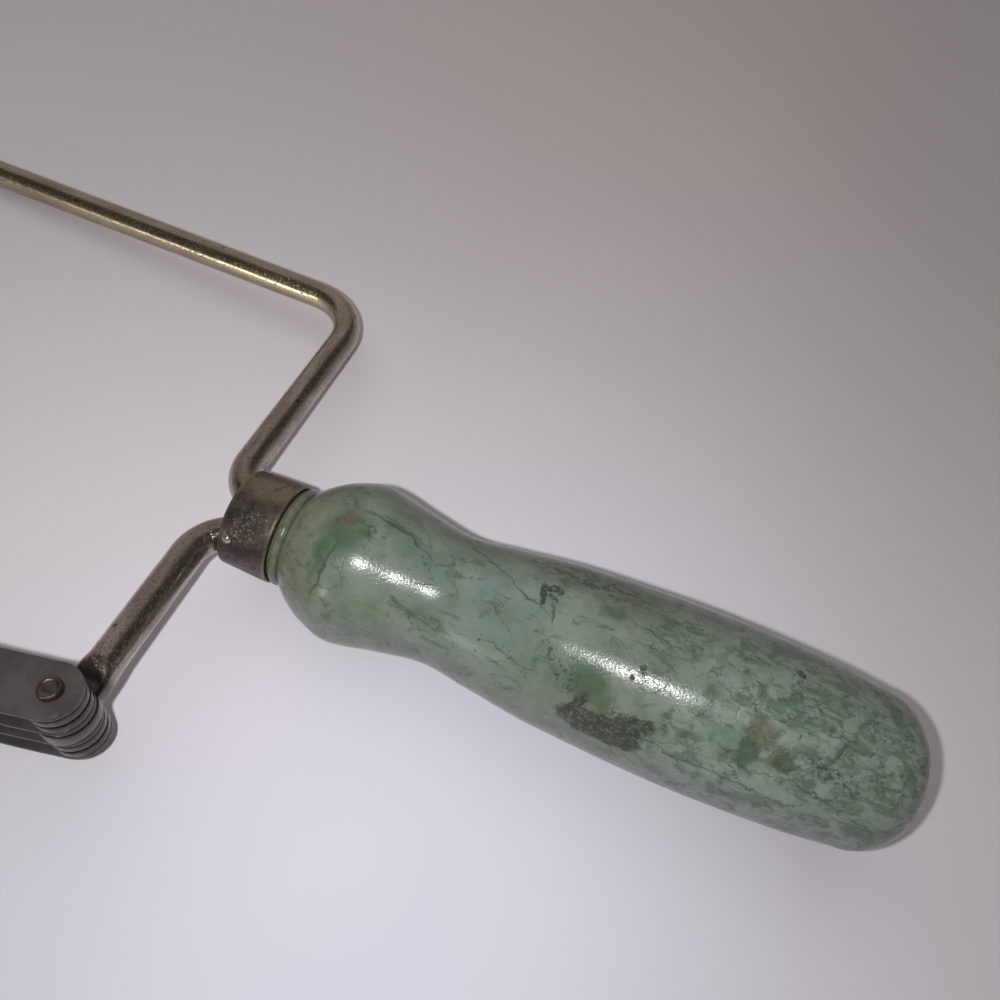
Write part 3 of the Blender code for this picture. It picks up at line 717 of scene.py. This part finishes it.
# %% Rod sizes
ROD_RADIUS = 0.0025
TANG_OFFSET = ROD_RADIUS + CLEARANCE / 2
TANG_END = HANDLE_FRONT + 0.036
EYE_RADIUS = 0.0039
EYE_HALF = 0.0016
EYE_SHOULDER = 0.0038
FLAT_LENGTH = 0.0041
EYE_SPREAD = 0.10
EYE_SQUARENESS = 5.0
ROUND = 2.0
NEAR_RIVET = Vector((-0.0038, -0.0359, 0.0))
FAR_RIVET = Vector((-0.1048, -0.0359, 0.0))
RIVETS = (("near", NEAR_RIVET), ("far", FAR_RIVET))
ARM_X = -0.0044
ARM_Y = 0.0518


def bent_line(corners, radii, steps):
    """Points along a bent rod's centre line: straight runs joined by round bends."""
    corners = [Vector(corner) for corner in corners]
    points = [corners[0]]
    for before, corner, after, radius in zip(corners, corners[1:], corners[2:], radii):
        into = (corner - before).normalized()
        out = (after - corner).normalized()
        turn = into.angle(out)
        side = (out - into * into.dot(out)).normalized()
        centre = corner - into * radius * math.tan(turn / 2) + side * radius
        for step in range(steps + 1):
            a = turn * step / steps
            points.append(centre + radius * (math.sin(a) * into - math.cos(a) * side))
    points.append(corners[-1])
    return points


def forged_section(distance):
    """Half width, half thickness and squareness at a distance short of the rivet."""
    disc = math.sqrt(max(EYE_RADIUS ** 2 - distance ** 2, 0.0))
    spread = 1.0 + EYE_SPREAD * (1.0 - distance / (FLAT_LENGTH + EYE_SHOULDER))
    half_width = disc if distance <= 0 else max(disc, ROD_RADIUS * spread)
    step = min(max((distance - FLAT_LENGTH) / EYE_SHOULDER, 0.0), 1.0)
    ease = step * step * (3 - 2 * step)
    squareness = EYE_SQUARENESS + (ROUND - EYE_SQUARENESS) * ease
    return half_width, EYE_HALF + (ROD_RADIUS - EYE_HALF) * ease, squareness


# %% Loft a rod
RING_SPACING = 0.004
NECK_RINGS = 10
EYE_ANGLES = range(10, 178, 6)


def rod_stations(route):
    """(point, distance short of the rivet) for each ring. Round parts have no distance."""
    stations = []
    for start, end in zip(route[:-2], route[1:-1]):
        pieces = max(1, round((end - start).length / RING_SPACING))
        stations += [(start.lerp(end, n / pieces), None) for n in range(pieces)]
    stations.append((route[-2], None))
    into = (route[-1] - route[-2]).normalized()
    distances = [FLAT_LENGTH + EYE_SHOULDER * n / NECK_RINGS for n in range(NECK_RINGS, -1, -1)]
    distances += [EYE_RADIUS * math.cos(math.radians(a)) for a in EYE_ANGLES]
    return stations + [(route[-1] - into * d, d) for d in distances]


def loft_rod(route, material, sides=48):
    """A mesh swept along the route, with the straight-rod place of each point stored."""
    stations = rod_stations(route)
    verts, straight, faces = [], [], []
    run = 0.0
    for index, (point, distance) in enumerate(stations):
        before = stations[max(index - 1, 0)][0]
        after = stations[min(index + 1, len(stations) - 1)][0]
        forward = (after - before).normalized()
        across = Vector((0.0, 0.0, 1.0)).cross(forward)
        run += (point - before).length
        width, height, square = ROD_RADIUS, ROD_RADIUS, ROUND
        if distance is not None:
            width, height, square = forged_section(distance)
        for side in range(sides):
            c, s = math.cos(2 * math.pi * side / sides), math.sin(2 * math.pi * side / sides)
            wide = math.copysign(abs(c) ** (2 / square), c) * width
            high = math.copysign(abs(s) ** (2 / square), s) * height
            verts.append(point + across * wide + Vector((0.0, 0.0, high)))
            straight.append((run * MM, wide * MM, high * MM))
    for ring in range(len(stations) - 1):
        for side in range(sides):
            a, b = ring * sides + side, ring * sides + (side + 1) % sides
            faces.append((a, b, b + sides, a + sides))
    faces.append(tuple(range(sides))[::-1])
    faces.append(tuple(range(len(verts) - sides, len(verts))))
    mesh = bpy.data.meshes.new("rod")
    mesh.from_pydata(verts, [], faces)
    store = mesh.attributes.new("straight", "FLOAT_VECTOR", "POINT")
    store.data.foreach_set("vector", [value for place in straight for value in place])
    mesh.materials.append(material)
    return mesh


# %% [markdown]
# ### Tarnish
# The rods were nickel plated. The plating is now brown-grey with fine specks. On the long
# rod's inner side a pale gold fades along the rod where the window's streak falls: partly
# rubbed plating, partly a painted reflection. The marks run lengthwise, so the noise is
# read from the stored straight places and stretched along the rod.

# %% Rod finish
nickel, tree, shader = new_finish("tarnished_nickel", 1.0)
straight = put(tree, "ShaderNodeAttribute", attribute_name="straight").outputs["Vector"]
bar = split(tree, straight)
parts = split(tree, tool_point(tree))
film = mask(tree, noise(tree, straight, 0.35, 6.0, 0.65, along=0.35), 0.35, 0.66)
drawn = noise(tree, straight, 0.9, 5.0, 0.6, along=0.10)
on_arm = mask(tree, parts["Y"], 44.0, 49.0)
# The pale gold band on the long rod's inner side fades along the rod as the window's streak does: partly
# rubbed plating, partly a painted reflection.
inner = product(tree, mask(tree, bar["Y"], 1.3, 1.9), mask(tree, bar["Z"], -0.2, 0.9))
rub_and_reflection_fade = total(tree, product(tree, mask(tree, parts["X"], -40.0, -22.0), 0.75), 0.25)
rub_and_reflection_fade = product(tree, rub_and_reflection_fade, mask(tree, parts["X"], -9.0, -14.0))
forged = mask(tree, parts["Y"], -29.5, -31.5)
specks = mask(tree, noise(tree, straight, 3.2, 6.0, 0.75, along=0.7), 0.53, 0.63)
nicks = mask(tree, noise(tree, straight, 0.8, 3.0, 0.5, along=0.8), 0.70, 0.73)
metal = coats(tree, layer(tree, film, (0.400, 0.336, 0.293), (0.580, 0.510, 0.452)),
              (mask(tree, drawn, 0.45, 0.68), (0.220, 0.175, 0.140), 0.5),
              (on_arm, (0.500, 0.400, 0.270), 0.35),
              (product(tree, inner, on_arm, rub_and_reflection_fade), (0.98, 0.88, 0.58), 1.0),
              (forged, (0.050, 0.042, 0.039), 0.85),
              (specks, (0.110, 0.085, 0.072), 0.55),
              (nicks, (0.120, 0.090, 0.070), 0.8))
streaks = product(tree, noise(tree, straight, 1.0, 5.0, 0.65, along=0.2), 0.18)
roughness = total(tree, streaks, 0.12, product(tree, specks, 0.2))
lumps = product(tree, noise(tree, straight, 0.22, 2.0), 0.5)
relief = total(tree, lumps, product(tree, drawn, 0.06), product(tree, specks, -0.10))
connect(tree, shader, metal, roughness, relief, 0.10)

# %% Bend the two rods
ARM_BEND = 0.0100
SHOULDER_BEND = 0.0070
BEND_STEPS = 26
long_route = bent_line([
    (TANG_END, TANG_OFFSET, 0.0), (ARM_X, TANG_OFFSET, 0.0), (ARM_X, ARM_Y, 0.0),
    (FAR_RIVET.x, ARM_Y, 0.0), FAR_RIVET], [SHOULDER_BEND, ARM_BEND, ARM_BEND], BEND_STEPS)
short_route = bent_line([
    (TANG_END, -TANG_OFFSET, 0.0), (NEAR_RIVET.x, -TANG_OFFSET, 0.0), NEAR_RIVET],
    [SHOULDER_BEND], BEND_STEPS)
for name, route, node in (("long_rod", long_route, "upper_rod"), ("short_rod", short_route, "lower_rod")):
    finish_piece(name, loft_rod(route, nickel), [node], 50.0)

# %% [markdown]
# ## The bowed blades
# Each blade is a flat strip with round ends that bows between the rivets, so one rule gives
# its whole shape: an arc through both rivets. A Geometry Nodes tree builds it from span, bow,
# width and thickness. It carries a small rounded section along the arc and narrows it to
# nothing over each round end. All four blades are this one tree at four levels.

# %% Strip tree
strip, given = new_geometry_tree("bowed_strip", [
    ("Stations", "Int"), ("Span", "Float"), ("Bow", "Float"), ("Width", "Float"),
    ("Thickness", "Float"), ("Level", "Float"), ("Middle", "Vector"), ("Material", "Material")])
grid, column, point = grid_over_profile(strip, given["Geometry"], given["Stations"])
half_span = product(strip, given["Span"], 0.5)
half_width = product(strip, given["Width"], 0.5)
squares = total(strip, calc(strip, "POWER", half_span, 2.0), calc(strip, "POWER", given["Bow"], 2.0))
radius = calc(strip, "DIVIDE", squares, product(strip, given["Bow"], 2.0))
opening = calc(strip, "ARCSINE", calc(strip, "DIVIDE", half_span, radius))
share = calc(strip, "DIVIDE", column, calc(strip, "SUBTRACT", given["Stations"], 1.0))
spacing = product(strip, calc(strip, "COSINE", product(strip, share, math.pi)), -1.0)
reach = total(strip, opening, calc(strip, "DIVIDE", half_width, radius))
turn = product(strip, spacing, reach)
past_rivet = calc(strip, "SUBTRACT", calc(strip, "ABSOLUTE", turn), opening)
beyond = product(strip, calc(strip, "MAXIMUM", past_rivet, 0.0), radius)
room = calc(strip, "SUBTRACT", calc(strip, "POWER", half_width, 2.0), calc(strip, "POWER", beyond, 2.0))
narrowed = calc(strip, "SQRT", calc(strip, "MAXIMUM", room, 0.0))
out = total(strip, radius, product(strip, point["X"], narrowed))
drop = calc(strip, "SUBTRACT", radius, given["Bow"])
lift = product(strip, point["Y"], product(strip, given["Thickness"], 0.5))
flat = combine(strip, product(strip, out, calc(strip, "SINE", turn)),
               calc(strip, "SUBTRACT", drop, product(strip, out, calc(strip, "COSINE", turn))),
               total(strip, given["Level"], lift))
spot = vector_calc(strip, "ADD", flat, given["Middle"])
close_tree(strip, lay_out(strip, grid, spot), given["Material"])

# %% [markdown]
# ### Rubbed steel
# The blades are dark grey spring steel. Long faint brush lines run from rivet to rivet, and rust
# has crept out from under the rivets. Painted shade darkens the cut edges and the faces between
# the blades more than the outer faces, and each blade away from its rivets towards its middle.

# %% Blade finish
BLADE_THICKNESS = 0.0009
OUTER_LEVEL = 0.0071
INNER_LEVEL = EYE_HALF + BLADE_THICKNESS / 2
BLADE_SPAN = 0.1010
BLADE_BOW = 0.0048
BLADE_WIDTH = 0.0074
BLADE_MIDDLE = (NEAR_RIVET + FAR_RIVET) / 2
steel, tree, shader = new_finish("grey_blade_steel", 0.55)
place = tool_point(tree)
parts = split(tree, place)
cloud = mask(tree, noise(tree, place, 0.22, 6.0, 0.6), 0.35, 0.65)
brushed = noise(tree, place, 2.2, 4.0, 0.6, along=0.03)
from_middle = distance_from(tree, parts["X"], BLADE_MIDDLE.x * MM)
to_rivet = combine(tree, calc(tree, "SUBTRACT", from_middle, BLADE_SPAN / 2 * MM),
                   calc(tree, "SUBTRACT", parts["Y"], NEAR_RIVET.y * MM))
to_rivet = vector_calc(tree, "LENGTH", ragged(tree, to_rivet, 0.8, 1.6))
height = calc(tree, "ABSOLUTE", parts["Z"])
stains = mask(tree, noise(tree, place, 0.6, 6.0, 0.7), 0.57, 0.70)
pits = mask(tree, noise(tree, place, 3.0, 4.0, 0.7), 0.64, 0.69)
# The cut edges of the blades are darkened: a painted shade.
painted_edge_shade = greatest(tree, [mask(tree, distance_from(tree, height, level * MM), 0.445, 0.38)
                        for level in (OUTER_LEVEL, INNER_LEVEL)])
grey = coats(tree, layer(tree, cloud, (0.078, 0.071, 0.072), (0.130, 0.118, 0.118)),
             (brushed, (0.070, 0.063, 0.064), 0.45),
             # Each blade darkens away from its rivets towards its middle: a painted shade.
             (mask(tree, from_middle, 47.0, 38.0), (0.034, 0.031, 0.033), 0.50),
             (mask(tree, to_rivet, 3.0, 1.5), (0.095, 0.066, 0.048), 0.45),
             # The faces between the blades are darker than the outer faces: a painted shade.
             (mask(tree, height, 6.9, 6.3), (0.034, 0.029, 0.028), 0.50),
             (stains, (0.090, 0.064, 0.050), 0.6),
             (pits, (0.050, 0.042, 0.040), 0.7),
             (painted_edge_shade, (0.042, 0.037, 0.038), 0.60))
roughness = total(tree, product(tree, noise(tree, place, 1.0, 5.0, 0.6, along=0.2), 0.25), 0.30)
relief = total(tree, product(tree, brushed, 0.25), product(tree, pits, -0.4))
connect(tree, shader, grey, roughness, relief, 0.03)

# %% Four blades
CORNER = [(1.0, 0.70), (0.993, 0.90), (0.972, 1.0)]
ACROSS = (0.5, 0.0, -0.5)
top = CORNER + [(x, 1.0) for x in ACROSS] + [(-x, y) for x, y in reversed(CORNER)]
SECTION = [(1.0, -0.70)] + top + [(-x, -y) for x, y in top]
for number, level in enumerate((OUTER_LEVEL, INNER_LEVEL, -INNER_LEVEL, -OUTER_LEVEL), start=1):
    mesh = run_tree(strip, line_mesh(SECTION), {
        "Stations": 140, "Span": BLADE_SPAN, "Bow": BLADE_BOW, "Width": BLADE_WIDTH,
        "Thickness": BLADE_THICKNESS, "Level": level, "Middle": BLADE_MIDDLE, "Material": steel})
    finish_piece(f"steel_blade_{number}", mesh, [f"blade_{number}"], 40.0)

# %% [markdown]
# ## The spacer washers
# Two thick washers fill the gap between an outer blade and its inner neighbour, so each rivet
# carries four. A washer is turned once and then instanced, which is what Geometry Nodes do
# best: one line of points above the eye, one below, and a washer on each, with a random turn
# from a fixed seed.

# %% Stack tree
TURN_SEED = 3
FULL_TURN = 6.28
stack, given = new_geometry_tree("washer_stack", [
    ("Count", "Int"), ("First", "Float"), ("Pitch", "Float"), ("Seed", "Int"), ("Material", "Material")])
points = put(stack, "GeometryNodeJoinGeometry")
for side in (1.0, -1.0):
    line = put(stack, "GeometryNodeMeshLine", {
        "Count": given["Count"],
        "Start Location": combine(stack, z=product(stack, given["First"], side)),
        "Offset": combine(stack, z=product(stack, given["Pitch"], side)),
    }).outputs[0]
    stack.links.new(line, points.inputs[0])
spin = put(stack, "FunctionNodeRandomValue", {"Seed": given["Seed"], 1: (0.0, 0.0, FULL_TURN)},
           data_type="FLOAT_VECTOR").outputs[0]
placed = put(stack, "GeometryNodeInstanceOnPoints", {
    "Points": points.outputs[0], "Instance": given["Geometry"], "Rotation": spin}).outputs[0]
close_tree(stack, placed, given["Material"])

# %% Washer finish
spacer, tree, shader = new_finish("browned_washer_steel", 0.85)
place = tool_point(tree)
cloud = noise(tree, place, 0.8, 6.0, 0.65)
rust = layer(tree, mask(tree, cloud, 0.38, 0.62), (0.066, 0.057, 0.054), (0.042, 0.033, 0.030))
crust = mask(tree, noise(tree, place, 2.2, 6.0, 0.7), 0.56, 0.66)
rust = coats(tree, rust, (crust, (0.045, 0.032, 0.027), 0.7))
roughness = total(tree, product(tree, cloud, 0.2), 0.12, product(tree, crust, 0.35))
relief = total(tree, product(tree, noise(tree, place, 3.0, 4.0), 0.3), product(tree, crust, 0.3))
connect(tree, shader, rust, roughness, relief, 0.05)

# %% Stack the washers
STAND_UP = Matrix.Rotation(math.radians(-90.0), 4, "Y")
GAP_FLOOR = INNER_LEVEL + BLADE_THICKNESS / 2
GAP_TOP = OUTER_LEVEL - BLADE_THICKNESS / 2
WASHER_HOLE = 0.0012
WASHER_RIM = 0.0037
WASHER_EASE = 0.0005
WASHER_AIR = 0.00002
pitch = (GAP_TOP - GAP_FLOOR) / 2
thick = pitch - WASHER_AIR
bore = [(-thick / 2, WASHER_HOLE), (thick / 2, WASHER_HOLE)]
rim_top = arc((thick / 2 - WASHER_EASE, WASHER_RIM - WASHER_EASE), WASHER_EASE, 0.0, 90.0, 6)
rim_foot = arc((WASHER_EASE - thick / 2, WASHER_RIM - WASHER_EASE), WASHER_EASE, 90.0, 180.0, 6)
washer = bore[1:] + rim_top + rim_foot + bore
for end, rivet in RIVETS:
    one = turned(washer, 56, spacer)
    one.transform(STAND_UP)
    mesh = run_tree(stack, one, {
        "Count": 2, "First": GAP_FLOOR + pitch / 2, "Pitch": pitch, "Seed": TURN_SEED,
        "Material": spacer})
    mesh.transform(Matrix.Translation(rivet))
    nodes = [f"{end}_washer_{number}" for number in range(1, 5)]
    finish_piece(f"{end}_washers", mesh, nodes, 40.0)
print("washer thickness in mm:", round(thick * MM, 2))

# %% [markdown]
# ## The rivets
# Each rivet's head was struck with a cupped punch, which leaves a low dome inside a slightly
# raised ring. That small profile is turned on the lathe, with the same head at both ends.

# %% Rivet finish
bronze, tree, shader = new_finish("bronzed_rivet", 1.0)
place = tool_point(tree)
cloud = noise(tree, place, 1.4, 6.0, 0.65)
tone = layer(tree, mask(tree, cloud, 0.36, 0.64), (0.225, 0.200, 0.172), (0.140, 0.115, 0.098))
marks = mask(tree, noise(tree, place, 4.0, 5.0, 0.7), 0.56, 0.68)
tone = coats(tree, tone, (marks, (0.100, 0.070, 0.050), 0.6))
roughness = total(tree, product(tree, cloud, 0.25), 0.20)
connect(tree, shader, tone, roughness, noise(tree, place, 3.5, 5.0, 0.6), 0.05)

# %% Two rivets
STACK_TOP = OUTER_LEVEL + BLADE_THICKNESS / 2
RIVET_HEAD_HEIGHT = 0.00085
RIVET_HEAD_RADIUS = 0.00155
SHANK_RADIUS = 0.0011
HEAD_SHAPE = (  # (radius, height), as shares of the head's own
    (0.0, 0.90), (0.25, 0.89), (0.45, 0.84), (0.58, 0.82), (0.68, 0.92), (0.76, 1.0),
    (0.85, 0.94), (0.93, 0.72), (0.98, 0.42), (1.0, 0.15), (1.0, 0.0),
)
half = [(STACK_TOP + RIVET_HEAD_HEIGHT * up, RIVET_HEAD_RADIUS * across) for across, up in HEAD_SHAPE]
half.append((STACK_TOP, SHANK_RADIUS))
rivet_profile = half + [(-x, radius) for x, radius in reversed(half)]
for end, rivet in RIVETS:
    mesh = turned(rivet_profile, 40, bronze)
    mesh.transform(Matrix.Translation(rivet) @ STAND_UP)
    finish_piece(f"{end}_rivet_struck", mesh, [f"{end}_rivet"], 50.0)

# %% [markdown]
# ## Table and light
# The table is one plain pale plane, a little bluer towards the viewer and warmer behind. Its
# colour is also painted darker close in front of the tool and paler towards the back and the
# sides: painted light laid over the tint. In the photo hardly a shadow shows, and the table
# darkens away from the lower left. Both point to one light beside the camera: it hides each
# shadow behind its own piece, and it fades with distance. So the main lamp stands just left of
# the lens. It is hidden from reflections, because a farther lamp makes the two long highlights
# on the paint, and that one lights nothing else. A wide lamp softens the rest. The room is dark
# overhead and paler behind the tool, which gives the rods their dark and light bands. A small
# bright window low in front draws the golden streak on the long rod, and only reflections and
# light rays see it.

# %% Table
REACH = 5.0
table_mesh = bpy.data.meshes.new("table")
corners = [(-REACH, -REACH, 0.0), (REACH, -REACH, 0.0), (REACH, REACH, 0.0), (-REACH, REACH, 0.0)]
table_mesh.from_pydata(corners, [], [(0, 1, 2, 3)])
table = add_object("table", table_mesh)
pale, tree, shader = new_finish("pale_table", 0.0)
shader.inputs["Roughness"].default_value = 0.55
spot = split(tree, put(tree, "ShaderNodeTexCoord").outputs["Object"])
# Besides the tint, these tones paint the table darker close in front of the tool, under the near lamp,
# and paler towards the back and the sides: painted light.
near_tint_and_light = layer(tree, mask(tree, spot["X"], -0.03, 0.09), (0.630, 0.608, 0.675), (0.705, 0.695, 0.830))
far_tint_and_light = layer(tree, mask(tree, spot["X"], 0.04, 0.19), (0.930, 0.840, 0.835), (0.660, 0.590, 0.600))
tone = layer(tree, ramp(tree, spot["Y"], -0.06, 0.16), near_tint_and_light, far_tint_and_light)
painted_side_light = ramp(tree, distance_from(tree, spot["X"], 0.030), 0.02, 0.14)
tone = layer(tree, painted_side_light, tone, (0.92, 0.87, 0.90))
tree.links.new(tone, shader.inputs["Base Color"])
table_mesh.materials.append(pale)


# %% Lamps
def add_lamp(name, place, size, watts):
    """A round lamp at the given place that shines at the tool's middle."""
    data = bpy.data.lights.new(name, "AREA")
    data.shape = "DISK"
    data.size = size
    data.energy = watts
    lamp = add_object(name, data)
    lamp.location = place
    lamp.rotation_euler = (lamp.location - TOOL_MIDDLE).to_track_quat("Z", "Y").to_euler()
    return lamp


TOOL_MIDDLE = Vector((0.02, 0.0, 0.01))
near = add_lamp("near_lamp", (0.0300, -0.0590, 0.1235), 0.004, 0.130)
near.visible_glossy = False
near.visible_camera = False
fill = add_lamp("wide_fill", (-0.30, 0.15, 0.85), 1.20, 1.5)
fill.visible_glossy = False
glint = add_lamp("glint_lamp", (0.084, -0.231, 0.505), 0.04, 0.9)
glint.visible_diffuse = False

# %% The room around the table
TO_WINDOW = (-0.436, -0.896, 0.085)
world = bpy.data.worlds.new("room")
world.use_nodes = True
bpy.context.scene.world = world
tree = world.node_tree
aim = put(tree, "ShaderNodeTexCoord").outputs["Generated"]
parts = split(tree, aim)
room = layer(tree, mask(tree, parts["Z"], 0.05, 0.45), (0.30, 0.274, 0.259), (0.055, 0.050, 0.047))
behind = product(tree, mask(tree, parts["Y"], 0.05, 0.28), mask(tree, parts["X"], 0.25, -0.15))
room = layer(tree, behind, room, (0.32, 0.292, 0.276))
unseen = calc(tree, "SUBTRACT", 1.0, put(tree, "ShaderNodeLightPath").outputs["Is Camera Ray"])
window = mask(tree, vector_calc(tree, "DOT_PRODUCT", aim, TO_WINDOW), 0.980, 0.994)
room = layer(tree, product(tree, window, unseen), room, (3.6, 3.4, 3.0))
tree.links.new(room, tree.nodes["Background"].inputs["Color"])
bpy.context.scene.view_settings.view_transform = "Standard"
print("lamps:", len(bpy.data.lights))
